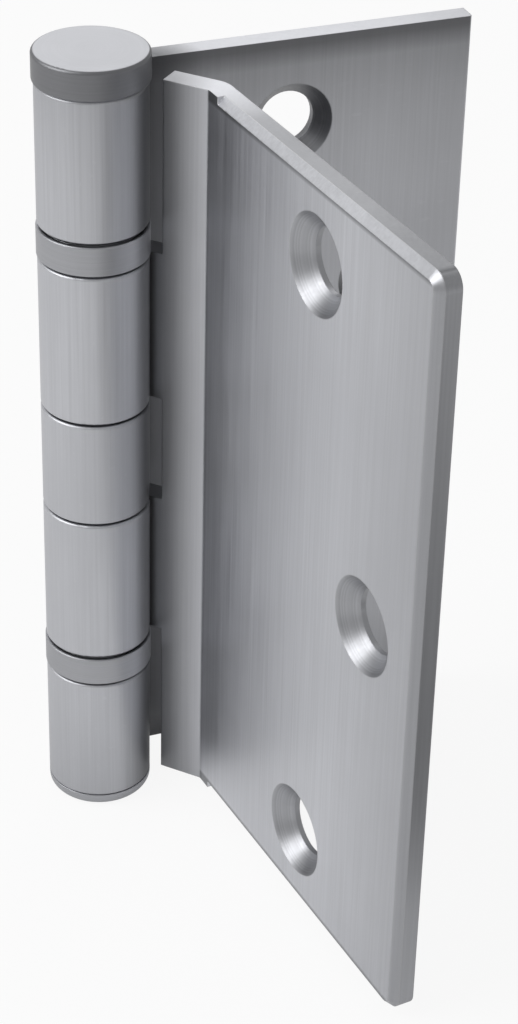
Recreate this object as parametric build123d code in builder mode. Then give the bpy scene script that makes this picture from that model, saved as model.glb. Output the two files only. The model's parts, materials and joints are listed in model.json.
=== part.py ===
from build123d import *

import os
from math import cos, radians, sin, tan

# Half surface hinge, one solid per piece, in millimetres.
# The origin is on the jamb leaf's back face, midway between its upper and lower screw holes.
# +X runs from the pin to the jamb leaf's free edge, +Y leaves its back face, +Z runs up the pin.
# The door leaf stands 83 degrees from the jamb leaf, seven degrees before the door is shut.

# Plate, barrel and the knuckle stack, which is the same from both ends
leaf_height = 114.3
plate = 3.4
barrel_radius = 7.7
bore_radius = barrel_radius - plate
end_knuckle = 20.65
bearing_height = 5.15
door_knuckle = 22.95

# Clearances
pin_clearance = 0.05
plug_clearance = 0.02
ball_clearance = 0.02
race_to_case = 0.3
knuckle_gap = 0.35
knuckle_edge = 0.4
plate_to_barrel = 0.7

# Jamb leaf, with distances along it from the pin
jamb_reach = 57.15
jamb_outer_holes = 30.5
jamb_inner_holes = 44.5
jamb_outer_hole_z = 44.45
jamb_inner_hole_z = 18.25
jamb_sink_radius = 6.0
jamb_screw_radius = 4.0
jamb_seam = 0.3
jamb_edge = 0.3

# Door leaf, with distances along it from the pin; its back stands behind the barrel by the offset
door_angle = -83
door_reach = 68.4
door_offset = 8.1
strip_angle = 36
bend_inside = 0.6
door_corner = 2.4
door_bevel = 1.1
bevel_start = 2.4
door_outer_hole_z = 45.45
door_outer_holes = 39.6
door_middle_hole = 55.1
door_sink_radius = 6.9
door_screw_radius = 4.6
door_seam = 0.8

# Screw heads in both leaves have this angle
sink_angle = 82

# Pin and tips
head_overhang = 0.3
head_height = 4.3
head_edge = 0.5
pin_taper = 0.6
plug_length = 7.0
pin_to_plug = 1.5
tip_thickness = 2.0
tip_edge = 1.4
drift_hole_radius = 1.6

# Ball bearings
ball_radius = 1.3
ball_count = 12
groove_radius = 1.5
groove_depth = 0.35
case_proud = 0.15
case_wall = 0.5
case_line = 0.4
case_edge = 0.12
hub_inset = 1.2

# Worked out from the sizes above
top = leaf_height / 2
bearing_top = top - end_knuckle
bearing_bottom = bearing_top - bearing_height
door_knuckle_bottom = bearing_bottom - door_knuckle
plate_start = barrel_radius + plate_to_barrel
door_back = barrel_radius + door_offset
pin_radius = bore_radius - pin_clearance
head_radius = barrel_radius + head_overhang
plug_radius = bore_radius - plug_clearance
case_radius = barrel_radius + case_proud
case_inside = case_radius - case_wall
top_race_radius = case_inside - race_to_case
ball_circle = (bore_radius + case_inside) / 2
race_height = (bearing_height - 2 * (ball_radius + ball_clearance - groove_depth)) / 2
ball_height = race_height - groove_depth + ball_clearance + ball_radius
hub_radius = barrel_radius - hub_inset
groove_half_width = (groove_radius**2 - (groove_radius - groove_depth) ** 2) ** 0.5

# The jamb leaf lies along this plane's X, the door leaf along the next one's
pin_plane = Plane(origin=(-jamb_outer_holes, -barrel_radius, 0))
door_plane = Plane(
    origin=pin_plane.origin,
    x_dir=(cos(radians(door_angle)), sin(radians(door_angle)), 0),
    z_dir=(0, 0, 1),
)
strip_plane = Plane(
    origin=pin_plane.origin,
    x_dir=(cos(radians(door_angle + strip_angle)), sin(radians(door_angle + strip_angle)), 0),
    z_dir=(0, 0, 1),
)

# Half sections of turned pieces are drawn here: X out from the pin, Y up it
section_plane = Plane(origin=pin_plane.origin, x_dir=(1, 0, 0), z_dir=(0, -1, 0))
pin_line = Axis(pin_plane.origin, (0, 0, 1))

# The faces that the screw heads go into, with X away from the pin and Y up
jamb_face = Plane(
    origin=pin_plane.from_local_coords((0, bore_radius, 0)),
    x_dir=pin_plane.x_dir,
    z_dir=-pin_plane.y_dir,
)
door_face = Plane(
    origin=door_plane.from_local_coords((0, door_back - plate, 0)),
    x_dir=door_plane.x_dir,
    z_dir=-door_plane.y_dir,
)


def curl(leaf_plane, low, high, seam):
    """Roll a knuckle from the plate: a ring, its straight run to the leaf and an open seam."""
    with BuildSketch(leaf_plane.offset(low)) as rolled:
        Circle(barrel_radius)
        with Locations((0, bore_radius)):
            Rectangle(plate_start + plate, plate, align=(Align.MIN, Align.MIN))
        Circle(bore_radius, mode=Mode.SUBTRACT)
        with Locations((0, bore_radius)):
            Rectangle(barrel_radius, seam, align=(Align.MIN, Align.MAX), mode=Mode.SUBTRACT)
    extrude(rolled.sketch, amount=high - low)


def ease(leaf):
    """Round the outer edge at both ends of every knuckle, and on along the plate that leaves it."""
    rounds = leaf.edges().filter_by(GeomType.CIRCLE)
    rims = rounds.filter_by(lambda rim: rim.radius > barrel_radius - plate / 2)
    fillet(rims, knuckle_edge)


def on_face(face_plane, spots):
    """Places on a leaf's face, given as distance from the pin and height."""
    return [face_plane.location * Pos(reach, height) for reach, height in spots]


# Jamb leaf: one plate, cut back where the door leaf's knuckles turn, with knuckles 1, 3 and 5
jamb_knuckles = [
    (bearing_top, top),
    (knuckle_gap - door_knuckle_bottom, door_knuckle_bottom - knuckle_gap),
    (-top, -bearing_top),
]
with BuildPart() as jamb_leaf:
    with BuildSketch(pin_plane.offset(-top)):
        with Locations((plate_start, bore_radius)):
            Rectangle(jamb_reach - plate_start, plate, align=(Align.MIN, Align.MIN))
    extrude(amount=leaf_height)
    free_edge = jamb_leaf.faces().sort_by(Axis.X)[-1]
    chamfer(free_edge.edges().filter_by(Axis.Z), jamb_edge)
    for low, high in jamb_knuckles:
        curl(pin_plane, low, high, jamb_seam)
    ease(jamb_leaf)
    jamb_holes = [
        (jamb_outer_holes, jamb_outer_hole_z),
        (jamb_inner_holes, jamb_inner_hole_z),
        (jamb_inner_holes, -jamb_inner_hole_z),
        (jamb_outer_holes, -jamb_outer_hole_z),
    ]
    with Locations(*on_face(jamb_face, jamb_holes)):
        CounterSinkHole(jamb_screw_radius, jamb_sink_radius, plate, sink_angle)
jamb_leaf.part.label = "jamb_leaf"
export_step(jamb_leaf.part, "parts/jamb_leaf.step")

# Door leaf: a bevelled main face, a strip bent 36 degrees towards the barrel, knuckles 2 and 4
strip_cos = cos(radians(strip_angle))
strip_sin = sin(radians(strip_angle))
front_bend = (strip_cos * (door_back - plate) - bore_radius) / strip_sin
main_start = front_bend + bend_inside * tan(radians(strip_angle / 2))
bevelled_start = main_start + bevel_start
bend_centre = (main_start, door_back - plate - bend_inside)
strip_front = (
    plate_start * strip_cos - bore_radius * strip_sin,
    plate_start * strip_sin + bore_radius * strip_cos,
)
strip_back = (
    plate_start * strip_cos - barrel_radius * strip_sin,
    plate_start * strip_sin + barrel_radius * strip_cos,
)
door_knuckles = [
    (door_knuckle_bottom, bearing_bottom),
    (-bearing_bottom, -door_knuckle_bottom),
]
with BuildPart() as door_leaf:
    with BuildSketch(door_face):
        with Locations((bevelled_start, 0)):
            Rectangle(door_reach - bevelled_start, leaf_height, align=(Align.MIN, Align.CENTER))
    extrude(amount=-plate)
    square_edges = door_leaf.edges().filter_by(Axis(door_face.origin, door_face.z_dir))
    outer_corners = square_edges.sort_by(Axis(door_face.origin, door_face.x_dir))[-2:]
    fillet(outer_corners, door_corner)
    front = door_leaf.faces().sort_by(Axis(door_face.origin, door_face.z_dir))[-1]
    pin_side = front.edges().sort_by(Axis(door_face.origin, door_face.x_dir))[0]
    chamfer([edge for edge in front.edges() if edge != pin_side], door_bevel)
    with BuildSketch(door_plane.offset(-top)):
        with BuildLine():
            inside_bend = CenterArc(bend_centre, bend_inside, 90, strip_angle)
            outside_bend = CenterArc(bend_centre, bend_inside + plate, 90, strip_angle)
            Line(inside_bend @ 1, strip_front)
            Line(strip_front, strip_back)
            Line(strip_back, outside_bend @ 1)
            Polyline(
                outside_bend @ 0,
                (bevelled_start, door_back),
                (bevelled_start, door_back - plate),
                inside_bend @ 0,
            )
        make_face()
    extrude(amount=leaf_height)
    for low, high in door_knuckles:
        curl(strip_plane, low, high, door_seam)
    ease(door_leaf)
    door_holes = [
        (door_outer_holes, door_outer_hole_z),
        (door_middle_hole, 0),
        (door_outer_holes, -door_outer_hole_z),
    ]
    with Locations(*on_face(door_face, door_holes)):
        CounterSinkHole(door_screw_radius, door_sink_radius, plate, sink_angle)
door_leaf.part.label = "door_leaf"
export_step(door_leaf.part, "parts/door_leaf.step")

# Pin: turned in one piece with the flat button head that is the top tip
pin_end = plug_length + pin_to_plug - top
with BuildPart() as hinge_pin:
    with BuildSketch(section_plane):
        with BuildLine():
            Polyline(
                (0, pin_end),
                (pin_radius - pin_taper, pin_end),
                (pin_radius, pin_end + 2 * pin_taper),
                (pin_radius, top),
                (head_radius, top),
                (head_radius, top + head_height),
                (0, top + head_height),
                close=True,
            )
        make_face()
    revolve(axis=pin_line)
    head_rims = hinge_pin.edges().filter_by(GeomType.CIRCLE).sort_by(SortBy.RADIUS)[-2:]
    fillet(head_rims, head_edge)
hinge_pin.part.label = "hinge_pin"
export_step(hinge_pin.part, "parts/hinge_pin.step")

# Bottom tip: a plug with a rounded flange and the hole through which the pin is driven out
with BuildPart() as bottom_tip:
    with BuildSketch(section_plane):
        with BuildLine():
            Polyline(
                (drift_hole_radius, -top - tip_thickness),
                (barrel_radius, -top - tip_thickness),
                (barrel_radius, -top),
                (plug_radius, -top),
                (plug_radius, plug_length - pin_taper - top),
                (plug_radius - pin_taper, plug_length - top),
                (drift_hole_radius, plug_length - top),
                close=True,
            )
        make_face()
    revolve(axis=pin_line)
    low_rim = bottom_tip.edges().filter_by(GeomType.CIRCLE).group_by(Axis.Z)[0]
    fillet(low_rim.sort_by(SortBy.RADIUS)[-1], tip_edge)
bottom_tip.part.label = "bottom_tip"
export_step(bottom_tip.part, "parts/bottom_tip.step")


def race(face_height, back_height, outer_radius):
    """Turn one grooved washer, its groove towards the balls and a narrower hub on its back."""
    backwards = 1 if back_height > face_height else -1
    groove_floor = face_height + backwards * groove_depth
    hub_foot = back_height - backwards * case_line
    with BuildSketch(section_plane) as washer:
        with BuildLine():
            Line((bore_radius, back_height), (bore_radius, face_height))
            Line((bore_radius, face_height), (ball_circle - groove_half_width, face_height))
            ThreePointArc(
                (ball_circle - groove_half_width, face_height),
                (ball_circle, groove_floor),
                (ball_circle + groove_half_width, face_height),
            )
            Line((ball_circle + groove_half_width, face_height), (outer_radius, face_height))
            Polyline(
                (outer_radius, face_height),
                (outer_radius, hub_foot),
                (hub_radius, hub_foot),
                (hub_radius, back_height),
                (bore_radius, back_height),
            )
        make_face()
    revolve(washer.sketch, axis=pin_line)


# Bearings: a race against each knuckle, a ring of balls between them and a case around all
for side, base in (("upper", bearing_bottom), ("lower", -bearing_top)):
    with BuildPart() as bottom_race:
        race(base + race_height, base, case_inside)
    bottom_race.part.label = f"{side}_bearing_bottom_race"
    export_step(bottom_race.part, f"parts/{side}_bearing_bottom_race.step")

    with BuildPart() as top_race:
        race(base + bearing_height - race_height, base + bearing_height, top_race_radius)
    top_race.part.label = f"{side}_bearing_top_race"
    export_step(top_race.part, f"parts/{side}_bearing_top_race.step")

    with BuildPart() as case:
        with BuildSketch(pin_plane.offset(base + case_line)):
            Circle(case_radius)
            Circle(case_inside, mode=Mode.SUBTRACT)
        extrude(amount=bearing_height - 2 * case_line)
        outside = case.faces().filter_by(GeomType.CYLINDER).sort_by(SortBy.AREA)[-1]
        chamfer(outside.edges().filter_by(GeomType.CIRCLE), case_edge)
    case.part.label = f"{side}_bearing_case"
    export_step(case.part, f"parts/{side}_bearing_case.step")

    with PolarLocations(ball_circle, ball_count) as ring:
        places = ring.local_locations
    for number, place in enumerate(places, start=1):
        centre = pin_plane.location * Pos(0, 0, base + ball_height) * place
        with BuildPart() as ball:
            with Locations(centre):
                Sphere(ball_radius)
        ball.part.label = f"{side}_ball_{number:02}"
        export_step(ball.part, f"parts/{side}_ball_{number:02}.step")
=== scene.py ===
import json
import math

import bpy
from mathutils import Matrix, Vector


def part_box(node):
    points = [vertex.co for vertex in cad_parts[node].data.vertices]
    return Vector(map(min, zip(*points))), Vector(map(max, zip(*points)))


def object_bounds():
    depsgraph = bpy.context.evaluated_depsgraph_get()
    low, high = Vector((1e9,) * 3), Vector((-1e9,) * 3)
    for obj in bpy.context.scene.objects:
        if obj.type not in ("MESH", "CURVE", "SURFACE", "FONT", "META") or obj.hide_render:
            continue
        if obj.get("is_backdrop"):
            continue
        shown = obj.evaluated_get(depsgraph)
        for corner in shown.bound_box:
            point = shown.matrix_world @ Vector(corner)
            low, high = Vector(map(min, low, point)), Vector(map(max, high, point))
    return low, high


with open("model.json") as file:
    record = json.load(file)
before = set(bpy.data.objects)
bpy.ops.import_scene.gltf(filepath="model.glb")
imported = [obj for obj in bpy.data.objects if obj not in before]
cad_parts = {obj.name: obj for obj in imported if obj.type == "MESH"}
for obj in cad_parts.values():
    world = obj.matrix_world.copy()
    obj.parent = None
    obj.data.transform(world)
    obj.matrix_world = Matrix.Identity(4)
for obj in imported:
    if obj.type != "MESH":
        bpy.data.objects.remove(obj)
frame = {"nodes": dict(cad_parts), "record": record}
cad_low, cad_high = (list(corner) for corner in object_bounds())
print("solids:", len(frame["nodes"]), "height in metres:", round(cad_high[2] - cad_low[2], 4))

# %% [markdown]
# Short words for nodes
#
# A material is a drawing of boxes and wires. These helpers add a box, set its plain values
# and lead a wire, so that each finish below reads as a list of what the steel went through.
# %% Node helpers


def add_node(tree, kind, **settings):
    """Add a shader node and set its own choices, such as an operation."""
    node = tree.nodes.new("ShaderNode" + kind)
    for name, value in settings.items():
        setattr(node, name, value)
    return node


def wire(tree, source, target):
    """Lead one socket into another."""
    tree.links.new(source, target)


def blank(name):
    """Start a material that holds one metal shader."""
    material = bpy.data.materials.new(name)
    material.use_nodes = True
    tree = material.node_tree
    tree.nodes.clear()
    end = add_node(tree, "OutputMaterial")
    metal = add_node(tree, "BsdfPrincipled")
    metal.inputs["Metallic"].default_value = 1.0
    wire(tree, metal.outputs["BSDF"], end.inputs["Surface"])
    return material, tree, metal


print("node helpers ready")

# %% [markdown]
# Sums, ramps and mixes
#
# A few kinds of box do all the work: one spreads a value over a range, one does a sum,
# one reads a value off a line with corners, and one mixes two colours.
# Each helper hands back its output socket, so one call can be put inside another.
# %% Value helpers


def ranged(tree, value, low, high, start=0.0, stop=1.0):
    """Turn a value that runs from start to stop into one that runs from low to high."""
    spread = add_node(tree, "MapRange")
    wire(tree, value, spread.inputs["Value"])
    spread.inputs["From Min"].default_value = start
    spread.inputs["From Max"].default_value = stop
    spread.inputs["To Min"].default_value = low
    spread.inputs["To Max"].default_value = high
    return spread.outputs["Result"]


def combined(tree, operation, first, second):
    """Combine two values, or a value and a number."""
    node = add_node(tree, "Math", operation=operation)
    wire(tree, first, node.inputs[0])
    if isinstance(second, float):
        node.inputs[1].default_value = second
    else:
        wire(tree, second, node.inputs[1])
    return node.outputs["Value"]


def absolute(tree, value):
    """Drop the sign of a value."""
    node = add_node(tree, "Math", operation="ABSOLUTE")
    wire(tree, value, node.inputs[0])
    return node.outputs["Value"]


def ramped(tree, value, stops):
    """Read a value from 0 to 1 off a list of places and levels, with straight runs between."""
    ramp = add_node(tree, "ValToRGB")
    points = ramp.color_ramp.elements
    for place, level in stops[1:-1]:
        points.new(place).color = (level, level, level, 1.0)
    for point, (place, level) in ((points[0], stops[0]), (points[-1], stops[-1])):
        point.position = place
        point.color = (level, level, level, 1.0)
    wire(tree, value, ramp.inputs["Fac"])
    return ramp.outputs["Color"]


def scaled(tree, colour, amount):
    """Multiply a colour by a value."""
    node = add_node(tree, "VectorMath", operation="SCALE")
    wire(tree, colour, node.inputs[0])
    wire(tree, amount, node.inputs["Scale"])
    return node.outputs["Vector"]


def along(tree, vector, direction):
    """How far a vector reaches in a direction."""
    dot = add_node(tree, "VectorMath", operation="DOT_PRODUCT")
    wire(tree, vector, dot.inputs[0])
    dot.inputs[1].default_value = direction
    return dot.outputs["Value"]


def blended(tree, amount, first, second):
    """Mix two colours by a value; each is a colour or another mix's output."""
    mix = add_node(tree, "Mix", data_type="RGBA")
    wire(tree, amount, mix.inputs[0])
    for socket, colour in ((mix.inputs[6], first), (mix.inputs[7], second)):
        if isinstance(colour, tuple):
            socket.default_value = (*colour, 1.0)
        else:
            wire(tree, colour, socket)
    return mix.outputs[2]


print("value helpers ready")

# %% [markdown]
# Where a pattern comes from
#
# Every place in a pattern is read from Object coordinates, in metres, so it stays fixed
# to the piece.
# A brushed surface is noise squeezed across the grain and drawn out along it.
# A turned surface has its marks in rings, so its noise is read from the distance to the pin
# and the height, and hardly changes on the way round.
# %% Patterns
pin_low, pin_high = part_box("hinge_pin")
pin_x = (pin_low[0] + pin_high[0]) / 2
pin_y = (pin_low[1] + pin_high[1]) / 2
print("pin axis in millimetres:", round(pin_x * 1000, 2), round(pin_y * 1000, 2))


def noise(tree, vector, detail, roughness=0.6):
    """Noise with one cycle for each unit of its vector."""
    texture = add_node(tree, "TexNoise")
    wire(tree, vector, texture.inputs["Vector"])
    texture.inputs["Scale"].default_value = 1.0
    texture.inputs["Detail"].default_value = detail
    texture.inputs["Roughness"].default_value = roughness
    return texture.outputs["Fac"]


def from_pin(tree):
    """Object coordinates with the pin's axis as their origin."""
    place = add_node(tree, "TexCoord")
    move = add_node(tree, "VectorMath", operation="SUBTRACT")
    wire(tree, place.outputs["Object"], move.inputs[0])
    move.inputs[1].default_value = (pin_x, pin_y, 0.0)
    return move.outputs["Vector"]


def stretched(tree, scale, turn=(0.0, 0.0, 0.0), detail=4.0):
    """Noise with its own number of cycles per metre along each axis."""
    mapping = add_node(tree, "Mapping")
    wire(tree, from_pin(tree), mapping.inputs["Vector"])
    mapping.inputs["Rotation"].default_value = turn
    mapping.inputs["Scale"].default_value = scale
    return noise(tree, mapping.outputs["Vector"], detail)


def turned(tree, across, around, detail=4.0):
    """Noise in rings about the pin, with across cycles per metre out and up."""
    place = add_node(tree, "SeparateXYZ")
    wire(tree, from_pin(tree), place.inputs["Vector"])
    flat = add_node(tree, "CombineXYZ")
    wire(tree, place.outputs["X"], flat.inputs["X"])
    wire(tree, place.outputs["Y"], flat.inputs["Y"])
    reach = add_node(tree, "VectorMath", operation="LENGTH")
    wire(tree, flat.outputs["Vector"], reach.inputs[0])
    ring = add_node(tree, "CombineXYZ")
    wire(tree, combined(tree, "MULTIPLY", reach.outputs["Value"], across), ring.inputs["X"])
    wire(tree, combined(tree, "MULTIPLY", place.outputs["Z"], across), ring.inputs["Y"])
    wire(tree, combined(tree, "MULTIPLY", place.outputs["X"], around), ring.inputs["Z"])
    return noise(tree, ring.outputs["Vector"], detail)


# %% [markdown]
# Where the screw holes are
#
# The record that comes with the solids lists each screw hole's place and axis.
# Reading them there keeps the finish on the holes when a hole moves.
# The distance to the nearest axis then tells the wall of a hole from the plate round it.
# %% Screw hole distances


def hole_lines(leaf):
    """A point on each screw hole's axis in a leaf, and that axis, read from the record."""
    mounts = {mount["name"]: mount for mount in frame["record"]["mounts"]}
    if leaf == "door_leaf":
        holes = [mounts["door_top_hole"], mounts["door_middle_hole"], mounts["door_bottom_hole"]]
        return [hole["pos_m"] for hole in holes], holes[0]["axis"]
    spots = []
    for row in (mounts["jamb_outer_holes"], mounts["jamb_inner_holes"]):
        half = row["dims"]["spacing_y_mm"] / 2000
        x, y, z = row["pos_m"]
        spots += [(x, y, z + half), (x, y, z - half)]
    return spots, mounts["jamb_outer_holes"]["axis"]


def line_distance(tree, spots, axis):
    """Distance in metres to the nearest of some parallel lines."""
    place = add_node(tree, "TexCoord")
    nearest = None
    for spot in spots:
        step = add_node(tree, "VectorMath", operation="SUBTRACT")
        wire(tree, place.outputs["Object"], step.inputs[0])
        step.inputs[1].default_value = spot
        across = add_node(tree, "VectorMath", operation="CROSS_PRODUCT")
        wire(tree, step.outputs["Vector"], across.inputs[0])
        across.inputs[1].default_value = axis
        reach = add_node(tree, "VectorMath", operation="LENGTH")
        wire(tree, across.outputs["Vector"], reach.inputs[0])
        value = reach.outputs["Value"]
        nearest = value if nearest is None else combined(tree, "MINIMUM", nearest, value)
    return nearest


print("holes in the door leaf:", len(hole_lines("door_leaf")[0]))

# %% [markdown]
# Worn edges and painted shade in corners
#
# A hinge is handled, shipped and rubbed, so its corners are a little rounded and brighter.
# The Bevel node bends the normal near an edge as a small radius would.
# Where that bent normal departs from the true one there is an edge, and the steel is paler.
# Ambient Occlusion finds the slits, and the colour there is painted darker, as painted shade.
# %% Edge and corner masks
edge_radius = 0.00022
slit_distance = 0.0016


def edges(tree):
    """The bevelled normal, and a value of 1 on edges and 0 on open faces."""
    bevel = add_node(tree, "Bevel", samples=4)
    bevel.inputs["Radius"].default_value = edge_radius
    surface = add_node(tree, "NewGeometry")
    match = add_node(tree, "VectorMath", operation="DOT_PRODUCT")
    wire(tree, bevel.outputs["Normal"], match.inputs[0])
    wire(tree, surface.outputs["Normal"], match.inputs[1])
    return bevel.outputs["Normal"], ranged(tree, match.outputs["Value"], 0.0, 1.0, 0.995, 0.9)


def slits(tree):
    """A value of 1 in slits and corners and 0 in the open, where shade is painted."""
    shade = add_node(tree, "AmbientOcclusion", samples=4, only_local=True)
    shade.inputs["Distance"].default_value = slit_distance
    return ranged(tree, shade.outputs["AO"], 0.0, 1.0, 0.6, 0.1)


print("edge radius in millimetres:", edge_radius * 1000)

# %% [markdown]
# Satin steel
#
# One function makes every finish here. The grain drives three things at once:
# a faint change of tone, the roughness, and a very shallow bump that breaks up highlights
# as real scratches do. A slow cloud over it is where the belt pressed harder,
# and thin slanted scuffs are what happened to the hinge in its box.
# Faces that look straight up or down get a tone of their own, which is painted light and shade on
# tops and bottoms.
# %% Steel
scuff_grain = (260.0, 3400.0, 900.0)
cloud_grain = (45.0, 45.0, 28.0)
grain_depth = 0.00002
grain_rough = 0.04
worn_gain = 1.3
edge_polish = 0.08
painted_slit_shade = 0.25
painted_slit_share = 0.7
slit_rough = 0.25


def grey(level):
    """The slightly cool grey of bare steel."""
    return (level, level * 1.012, level * 1.06)


def base_coat(tree, tone, grain, contrast):
    """The tone of the open faces, made of grain and slow cloud, and the cloud by itself."""
    dark = tuple(part * (1.0 - contrast) for part in tone)
    light = tuple(min(1.0, part * (1.0 + contrast)) for part in tone)
    brushed_tone = blended(tree, ranged(tree, grain, 0.0, 1.0, 0.3, 0.7), dark, light)
    cloud = stretched(tree, cloud_grain, detail=3.0)
    return blended(tree, ranged(tree, cloud, 0.0, 0.5, 0.4, 0.75), brushed_tone, dark), cloud


def faces_up_or_down(tree):
    """A value of 1 on faces that look straight up or down, and 0 elsewhere."""
    surface = add_node(tree, "NewGeometry")
    upright = absolute(tree, along(tree, surface.outputs["Normal"], (0.0, 0.0, 1.0)))
    return ranged(tree, upright, 0.0, 1.0, 0.9, 0.96)


def steel(name, tone, grain, rough, contrast=0.07, bump=0.12, wear=0.5, scuffs=0.15, ends=1.2):
    """A satin steel and its colour. The grain is a function that adds its noise to the tree."""
    material, tree, metal = blank(name)
    grain_value = grain(tree)
    coat, cloud = base_coat(tree, tone, grain_value, contrast)
    scuff = stretched(tree, scuff_grain, turn=(0.5, 0.7, 0.4), detail=2.0)
    scuff = ranged(tree, scuff, 0.0, scuffs, 0.66, 0.76)
    bent, edge = edges(tree)
    slit = slits(tree)
    end = faces_up_or_down(tree)

    worn = tuple(min(1.0, part * worn_gain) for part in tone)
    # Painted light and shade: faces that look up or down take the tone times ends.
    painted_top_tone = tuple(min(1.0, part * ends) for part in tone)
    # Painted shade: slits and corners darken toward this tone in the colour.
    painted_shade = tuple(part * painted_slit_shade for part in tone)
    colour = blended(tree, end, coat, painted_top_tone)
    colour = blended(tree, scuff, colour, worn)
    colour = blended(tree, combined(tree, "MULTIPLY", edge, wear), colour, worn)
    colour = blended(tree, combined(tree, "MULTIPLY", slit, painted_slit_share), colour, painted_shade)

    level = ranged(tree, grain_value, rough - grain_rough, rough + grain_rough, 0.3, 0.7)
    level = combined(tree, "ADD", level, ranged(tree, cloud, -0.02, 0.05, 0.35, 0.7))
    level = combined(tree, "SUBTRACT", level, combined(tree, "MULTIPLY", edge, edge_polish))
    level = combined(tree, "ADD", level, combined(tree, "MULTIPLY", slit, slit_rough))
    wire(tree, level, metal.inputs["Roughness"])

    raised = add_node(tree, "Bump")
    raised.inputs["Strength"].default_value = bump
    raised.inputs["Distance"].default_value = grain_depth
    wire(tree, grain_value, raised.inputs["Height"])
    wire(tree, bent, raised.inputs["Normal"])
    wire(tree, raised.outputs["Normal"], metal.inputs["Normal"])
    wire(tree, colour, metal.inputs["Base Color"])
    return material, colour


print("slow cloud in cycles per metre:", cloud_grain)

# %% [markdown]
# Three grains
#
# A belt brushed the leaves, a lathe turned the pin and the rings, and a wheel ground the inside
# of the bearings. Each grain is one function, so a finish only has to name it.
# Grains are in cycles per metre: low numbers run along the marks, high ones across them.
# %% Grains
belt_grain = (2600.0, 2600.0, 30.0)
lathe_grain = (4200.0, 60.0)
wheel_grain = (9000.0, 120.0)


def brushed(tree):
    """Grain along Z, as a belt leaves it."""
    return stretched(tree, belt_grain)


def lathe(tree):
    """Grain in rings, as a lathe leaves it."""
    return turned(tree, *lathe_grain)


def ground(tree):
    """Finer rings, as a grinding wheel leaves them."""
    return turned(tree, *wheel_grain)


print("belt grain in cycles per metre:", belt_grain)

# %% [markdown]
# The leaves
#
# Both leaves and their knuckles were brushed up and down in one go, after they were rolled,
# so leaf and knuckles share one grain. Six things set places on them apart.
# The corner between barrel and leaf is painted dark, as painted shade.
# Painted light makes the door leaf brightest just past the bend, and painted shade darkens its
# free edges.
# The faces that look up or down near the barrel get a tone of their own, as painted light.
# A thin line of painted shade runs along the top and bottom of each face.
# On the jamb leaf a painted shade also darkens the plate from both ends and fades over almost 3
# cm.
# The screw holes were sunk after brushing, so each cone has rings round its own axis.
# The values come first, with lengths in metres. The painted dark corner lies along two upright
# lines.
# Each list of painted light and shade gives places, as shares of the leaf's reach from the pin,
# each with the number that the steel's tone is multiplied by there.
# %% Leaf values
root_lines = [(-0.023, -0.0105, 0.0), (-0.0215, -0.005, 0.0)]
root_dark = 0.003
root_end = 0.0085
barrel_clear = 0.0078
painted_shade_width = 0.028
painted_shade_on_barrel = 0.3
painted_edge_line_share = 0.6
painted_shade_tone = 0.15
painted_top_near_barrel = 0.9
painted_top_full_until = 0.15
painted_top_gone_at = 0.3
cone_rings = 4500.0
cone_blur = 0.0001
ring_contrast = 0.15
leaf_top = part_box("jamb_leaf")[1][2]
door_bevel = 0.0011
door_angle = math.radians(-83.0)
door = {
    "way": (math.cos(door_angle), math.sin(door_angle), 0.0),
    "front": (math.sin(door_angle), -math.cos(door_angle), 0.0),
    "reach": 0.0684,
    "rub": [
        (0.0, 0.73), (0.14, 0.73), (0.155, 1.0), (0.25, 0.92), (0.4, 0.8),
        (0.7, 0.8), (0.982, 0.64), (0.986, 0.5), (1.0, 0.5),
    ],
    "face_top": leaf_top - door_bevel,
    "line_width": 0.0007,
    "soak": 0.0,
    "sink_radius": 0.0069,
}
jamb = {
    "way": (1.0, 0.0, 0.0),
    "front": (0.0, -1.0, 0.0),
    "reach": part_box("jamb_leaf")[1][0] - pin_x,
    "rub": [
        (0.0, 1.0), (0.14, 1.0), (0.16, 1.1), (0.75, 1.1), (1.0, 0.92),
    ],
    "face_top": leaf_top,
    "line_width": 0.004,
    "soak": 0.53,
    "sink_radius": 0.006,
}
print("leaf top in millimetres:", round(leaf_top * 1000, 2))

# %% [markdown]
# Masks on a leaf
#
# Each place gets a mask, a value that is 1 on the place and 0 off it, with a soft step between.
# Masks made of a distance or a height need no picture, and both leaves can share them.
# One of them asks which way a face looks, and it asks in the room and not on the piece.
# So it tells front from back only while the leaf stands near the angle in the photograph.
# %% Leaf masks


def faces(tree, direction, low, high):
    """A value that climbs to 1 as the cosine between face and direction goes from low to high."""
    surface = add_node(tree, "NewGeometry")
    return ranged(tree, along(tree, surface.outputs["Normal"], direction), 0.0, 1.0, low, high)


def plate_and_rise(tree, leaf, on_barrel):
    """A value of 1 on the leaf's plate and less on the barrel, and the height off the middle."""
    place = from_pin(tree)
    rise = absolute(tree, along(tree, place, (0.0, 0.0, 1.0)))
    reach = along(tree, place, leaf["way"])
    return ranged(tree, reach, on_barrel, 1.0, barrel_clear, root_end), rise


def painted_edge_line(tree, leaf):
    """A value of 1 along the top and bottom of a leaf's front face, where a thin line of shade is
    painted.
    """
    plate, rise = plate_and_rise(tree, leaf, 0.0)
    past_top = combined(tree, "SUBTRACT", rise, leaf["face_top"])
    width = leaf["line_width"]
    line = ranged(tree, past_top, 0.0, 1.0, -width, -width / 4)
    line = combined(tree, "MULTIPLY", line, plate)
    return combined(tree, "MULTIPLY", line, faces(tree, leaf["front"], 0.9, 0.98))


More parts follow.
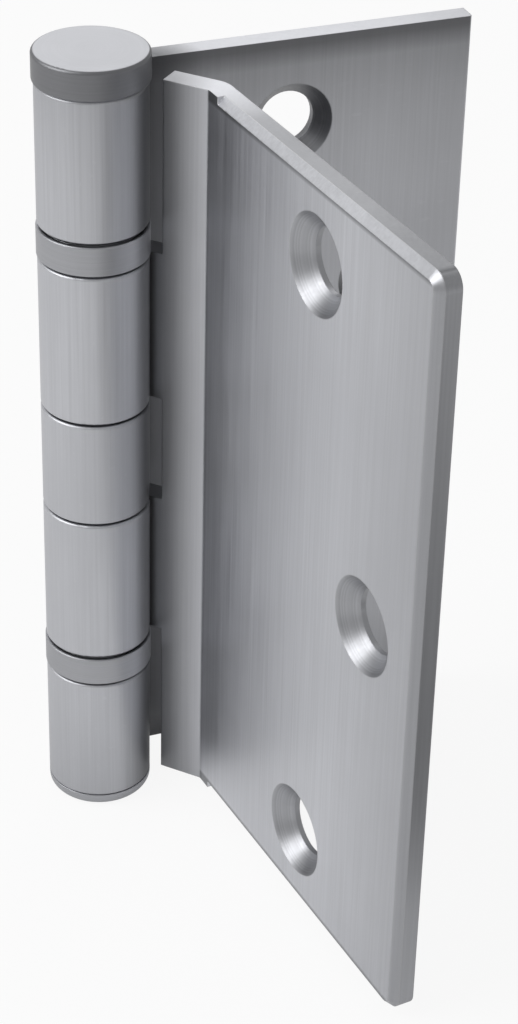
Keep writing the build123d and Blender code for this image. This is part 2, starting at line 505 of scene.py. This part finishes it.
def end_shade_share(tree, leaf):
    """The painted shade's share: highest at a leaf's top and bottom, weaker on the barrel, none
    on faces that look up or down.
    """
    plate, rise = plate_and_rise(tree, leaf, painted_shade_on_barrel)
    fade = ranged(tree, rise, 0.0, 1.0, leaf_top - painted_shade_width, leaf_top)
    fade = combined(tree, "POWER", fade, 2.0)
    fade = combined(tree, "MULTIPLY", fade, plate)
    fade = combined(tree, "MULTIPLY", fade, ranged(tree, faces_up_or_down(tree), 1.0, 0.0))
    return combined(tree, "MULTIPLY", fade, leaf["soak"])


def sunk_hole(tree, name, leaf):
    """A value of 1 on the walls of the screw holes, and the noise of their rings."""
    spots, axis = hole_lines(name)
    reach = line_distance(tree, spots, axis)
    edge = leaf["sink_radius"]
    cone = ranged(tree, reach, 1.0, 0.0, edge - cone_blur, edge + cone_blur)
    cone = combined(tree, "MULTIPLY", cone, faces(tree, leaf["front"], -0.9, -0.8))
    mark = add_node(tree, "CombineXYZ")
    wire(tree, combined(tree, "MULTIPLY", reach, cone_rings), mark.inputs["X"])
    return cone, noise(tree, mark.outputs["Vector"], 3.0)


print("ring marks on a cone, in cycles per metre:", cone_rings)

# %% [markdown]
# Laying the places over the steel
#
# The masks go over the brushed steel one after another: painted light and shade along the leaf
# and on tops near the barrel first, then the painted shade lines and the painted shade from the
# ends, then the painted dark corner, and the screw holes last, because they were cut last.
# %% Leaf finishes


def leaf_steel(name, leaf, tone, rough, ends, sink_tone, root_shade):
    """Brushed steel with painted light and shade in places, and the screw holes."""
    material, colour = steel(name + "_steel", tone, brushed, rough, ends=ends)
    tree = material.node_tree
    metal = next(node for node in tree.nodes if node.type == "BSDF_PRINCIPLED")
    painted_shade = tuple(part * painted_shade_tone for part in tone)
    share = combined(tree, "DIVIDE", along(tree, from_pin(tree), leaf["way"]), leaf["reach"])
    # Painted light and shade: the tone is scaled along the leaf, lighter or darker in places.
    colour = scaled(tree, colour, ramped(tree, share, leaf["rub"]))
    # Painted light: faces that look up or down near the barrel get a tone of their own.
    near_barrel = ranged(tree, share, 1.0, 0.0, painted_top_full_until, painted_top_gone_at)
    painted_top_share = combined(tree, "MULTIPLY", faces_up_or_down(tree), near_barrel)
    colour = blended(tree, painted_top_share, colour, tuple(part * painted_top_near_barrel for part in tone))
    # Painted shade: a thin dark line along the top and bottom of the front face.
    edge_line_shade = combined(tree, "MULTIPLY", painted_edge_line(tree, leaf), painted_edge_line_share)
    colour = blended(tree, edge_line_shade, colour, painted_shade)
    # Painted shade: the jamb leaf darkens from its top and bottom.
    if leaf["soak"]:
        colour = blended(tree, end_shade_share(tree, leaf), colour, painted_shade)
    # Painted shade: the corner between barrel and leaf is darkened in the colour.
    root = line_distance(tree, root_lines, (0.0, 0.0, 1.0))
    root = ranged(tree, root, root_shade, 0.0, root_dark, root_end)
    colour = blended(tree, root, colour, painted_shade)
    cone, rings = sunk_hole(tree, name, leaf)
    dark_ring = tuple(part * sink_tone * (1.0 - ring_contrast) for part in tone)
    pale_ring = tuple(part * sink_tone * (1.0 + ring_contrast) for part in tone)
    ringed = blended(tree, ranged(tree, rings, 0.0, 1.0, 0.3, 0.7), dark_ring, pale_ring)
    wire(tree, blended(tree, cone, colour, ringed), metal.inputs["Base Color"])
    return material


finishes = {
    "door_leaf": leaf_steel(
        "door_leaf", door, grey(0.82), rough=0.4, ends=0.58, sink_tone=0.52, root_shade=0.56
    ),
    "jamb_leaf": leaf_steel(
        "jamb_leaf", jamb, grey(0.59), rough=0.42, ends=1.05, sink_tone=0.4, root_shade=0.75
    ),
}
print("finishes:", ", ".join(finishes))

# %% [markdown]
# The turned pieces
#
# The pin with its button head, the bottom tip and the bearing cases came off a lathe.
# Their sides are a darker tone, and the faces that look up or down are painted lighter, as
# painted light.
# The races were ground, and the balls were lapped until they shone.
# %% Turned finishes
finishes["hinge_pin"] = steel("pin_steel", grey(0.24), lathe, rough=0.42, ends=2.4)[0]
finishes["bottom_tip"] = steel("tip_steel", grey(0.45), lathe, rough=0.4)[0]
case_steel = steel("case_steel", grey(0.44), lathe, rough=0.4)[0]
race_steel = steel("race_steel", grey(0.3), ground, rough=0.28)[0]
ball_steel = steel("ball_steel", grey(0.62), ground, rough=0.12, contrast=0.03, bump=0.05)[0]


def finish_of(name):
    """The finish that a solid gets, by its name."""
    if "ball_" in name:
        return ball_steel
    if name.endswith("race"):
        return race_steel
    if name.endswith("case"):
        return case_steel
    return finishes[name]


for name, solid in frame["nodes"].items():
    solid.data.materials.clear()
    solid.data.materials.append(finish_of(name))
print("dressed:", len(frame["nodes"]))

# %% [markdown]
# The floor
#
# Steel shows what stands around it, so the floor matters as much as the lamps.
# It is a wide pale sweep that rises behind the hinge: a plane whose far edge is pulled up
# and then rounded. It touches the lowest point of the hinge and keeps its shadow.
# The camera sees most of it as plain white, which gives the clean ground of a catalogue
# picture. The steel sees less white and more of the real paint, with the hinge's shadow in it,
# so the faces that mirror the ground close by turn a little darker.
# %% Floor
floor_half = 1.5
wall_height = 1.5
sweep_radius = 0.5
close_to = 0.01
white_for_camera = 0.9
white_for_steel = 0.3


def floor_paint():
    """Pale matt paint that the camera sees nearly white, and that the steel sees darker."""
    material, tree, metal = blank("floor_paint")
    end = next(node for node in tree.nodes if node.type == "OUTPUT_MATERIAL")
    metal.inputs["Metallic"].default_value = 0.0
    metal.inputs["Roughness"].default_value = 0.9
    metal.inputs["Specular IOR Level"].default_value = 0.1
    metal.inputs["Base Color"].default_value = (0.86, 0.86, 0.86, 1.0)
    glow = add_node(tree, "Emission")
    glow.inputs["Color"].default_value = (1.0, 1.0, 1.0, 1.0)
    path = add_node(tree, "LightPath")
    camera_ray = path.outputs["Is Camera Ray"]
    seen = combined(tree, "MAXIMUM", camera_ray, path.outputs["Is Transmission Ray"])
    seen = combined(tree, "MULTIPLY", seen, white_for_camera)
    mirrored = combined(tree, "MULTIPLY", path.outputs["Is Glossy Ray"], white_for_steel)
    mix = add_node(tree, "MixShader")
    wire(tree, combined(tree, "MAXIMUM", seen, mirrored), mix.inputs["Fac"])
    wire(tree, metal.outputs["BSDF"], mix.inputs[1])
    wire(tree, glow.outputs["Emission"], mix.inputs[2])
    wire(tree, mix.outputs["Shader"], end.inputs["Surface"])
    return material


bpy.ops.object.select_all(action="DESELECT")
bpy.ops.mesh.primitive_plane_add(size=2 * floor_half, location=(0, 0, cad_low[2]))
floor = bpy.context.object
floor.name = "floor"
bpy.ops.object.mode_set(mode="EDIT")
bpy.ops.mesh.select_mode(type="EDGE")
bpy.ops.mesh.select_all(action="DESELECT")
bpy.ops.object.mode_set(mode="OBJECT")
for edge in floor.data.edges:
    edge.select = all(floor.data.vertices[i].co.y > floor_half - close_to for i in edge.vertices)
bpy.ops.object.mode_set(mode="EDIT")
bpy.ops.mesh.extrude_region_move(TRANSFORM_OT_translate={"value": (0, 0, wall_height)})
bpy.ops.object.mode_set(mode="OBJECT")
for edge in floor.data.edges:
    ends = [floor.data.vertices[i].co for i in edge.vertices]
    edge.select = all(end.y > floor_half - close_to and abs(end.z) < close_to for end in ends)
bpy.ops.object.mode_set(mode="EDIT")
bpy.ops.mesh.bevel(offset=sweep_radius, segments=12)
bpy.ops.object.mode_set(mode="OBJECT")
bpy.ops.object.shade_smooth()
bpy.ops.object.transform_apply(location=True, rotation=True, scale=True)
floor.data.materials.append(floor_paint())
floor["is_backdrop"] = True
print("floor height in millimetres:", round(cad_low[2] * 1000, 2))

# %% [markdown]
# The lamps
#
# Large soft lamps far from the hinge give steel its slow gradients.
# The key hangs on the left, and a second lamp behind the hinge brightens the faces
# that look up, because those send its light on to the camera. An even white sky fills the rest.
# %% Lamps and sky


def lamp(name, place, aim, size, power):
    """A square soft lamp at a place, turned to face the point that it lights."""
    bpy.ops.object.light_add(type="AREA", location=place)
    light = bpy.context.object
    light.name = name
    light.data.size = size
    light.data.energy = power
    away = [place[i] - aim[i] for i in range(3)]
    light.rotation_euler = (
        math.atan2(math.hypot(away[0], away[1]), away[2]),
        0.0,
        math.atan2(away[0], -away[1]),
    )
    return light


middle = (-0.006, -0.035, 0.0)
sky_strength = 0.45
lamp("key_lamp", (-0.82, 0.08, 0.72), aim=middle, size=0.8, power=5.5)
lamp("back_lamp", (0.3, 0.9, 0.65), aim=middle, size=0.8, power=1.3)

world = bpy.data.worlds.new("studio")
bpy.context.scene.world = world
world.use_nodes = True
sky = world.node_tree.nodes["Background"]
sky.inputs["Color"].default_value = (1.0, 1.0, 1.0, 1.0)
sky.inputs["Strength"].default_value = sky_strength

# %% [markdown]
# The dark sheet
#
# Steel with only white around it has no form. Photographers lay dark felt beside it,
# out of the picture, and the steel takes a soft dark side from it.
# This piece lies to the right in front. Only the steel sees it.
# %% Dark sheet
sheet_length = 0.18
sheet_width = 0.117
sheet_turn = math.radians(-52.8)
sheet_lift = 0.0005
sheet_place = (0.0358, -0.1988, cad_low[2] + sheet_lift)
bpy.ops.object.select_all(action="DESELECT")
bpy.ops.mesh.primitive_plane_add(size=1.0, location=sheet_place)
dark_sheet = bpy.context.object
dark_sheet.name = "dark_sheet"
dark_sheet.scale = (sheet_length, sheet_width, 1.0)
dark_sheet.rotation_euler = (0.0, 0.0, sheet_turn)
bpy.ops.object.transform_apply(location=True, rotation=True, scale=True)
felt, _, felt_shader = blank("felt")
felt_shader.inputs["Metallic"].default_value = 0.0
felt_shader.inputs["Roughness"].default_value = 1.0
felt_shader.inputs["Base Color"].default_value = (0.32, 0.32, 0.32, 1.0)
dark_sheet.data.materials.append(felt)
dark_sheet.visible_camera = False
dark_sheet.visible_diffuse = False
dark_sheet.visible_transmission = False
dark_sheet.visible_shadow = False
dark_sheet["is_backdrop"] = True
print("dark sheet:", sheet_length, "by", sheet_width)

# %% [markdown]
# The camera
#
# The place, the angle and the lens come from the corners of the hinge in the photograph.
# The camera stands about 40 cm from the hinge's origin, looks down at 33 degrees
# and leans slightly.
# %% Camera
camera_place = (-0.12938, -0.32233, 0.20133)
camera_turn = (57.2712, -1.2561, -20.7409)
bpy.ops.object.camera_add(location=camera_place)
camera = bpy.context.object
camera.rotation_euler = tuple(math.radians(angle) for angle in camera_turn)
camera.data.lens = 94.64
camera.data.sensor_width = 36.0
camera.data.clip_start = 0.01
camera.data.clip_end = 20.0
bpy.context.scene.camera = camera
bpy.context.scene.view_settings.view_transform = "Standard"
print("lens in millimetres:", camera.data.lens)
